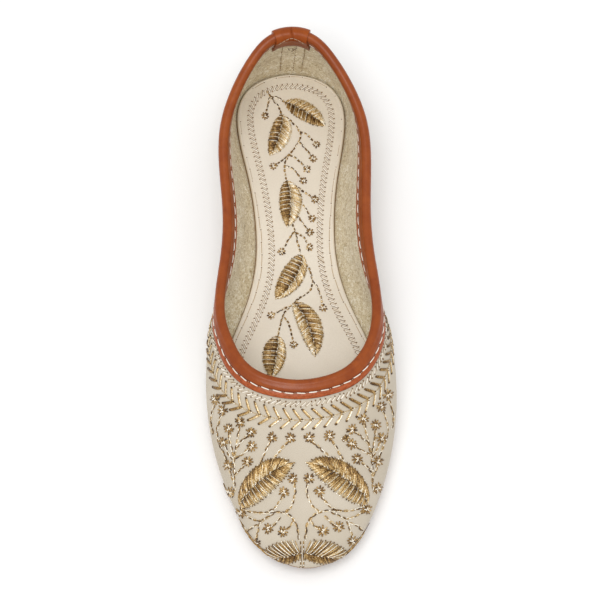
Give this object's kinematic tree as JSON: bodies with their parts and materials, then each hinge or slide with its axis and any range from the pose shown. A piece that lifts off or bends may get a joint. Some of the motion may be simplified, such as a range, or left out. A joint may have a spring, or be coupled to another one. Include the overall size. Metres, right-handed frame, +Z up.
{
  "type": "mojari shoe",
  "caption": "Flat slip-on mojari with an oval toe, bound collar, heel tab and low heel lift; the hollow upper takes a foot.",
  "frame": {"origin": "on the ground under the middle of the shoe's overall length and width", "axes": "+Z up from the ground, +Y from the toe towards the heel along the shoe's length, +X to the outer side of this left shoe"},
  "size_m": [0.0874, 0.2489, 0.058],
  "materials": {
    "sole_leather": "satin",
    "lift_leather": "matte",
    "insole_cover": "matte",
    "upper_cover": "matte",
    "binding_leather": "satin",
    "tab_leather": "satin",
    "lining_suede": "matte",
    "gold_thread": "satin",
    "cream_thread": "satin"
  },
  "bodies": {
    "root": {"outsole": "sole_leather", "heel_lift": "lift_leather", "insole": "insole_cover", "upper": "upper_cover", "collar_binding": "binding_leather", "heel_tab": "tab_leather"}
  },
  "joints": []
}
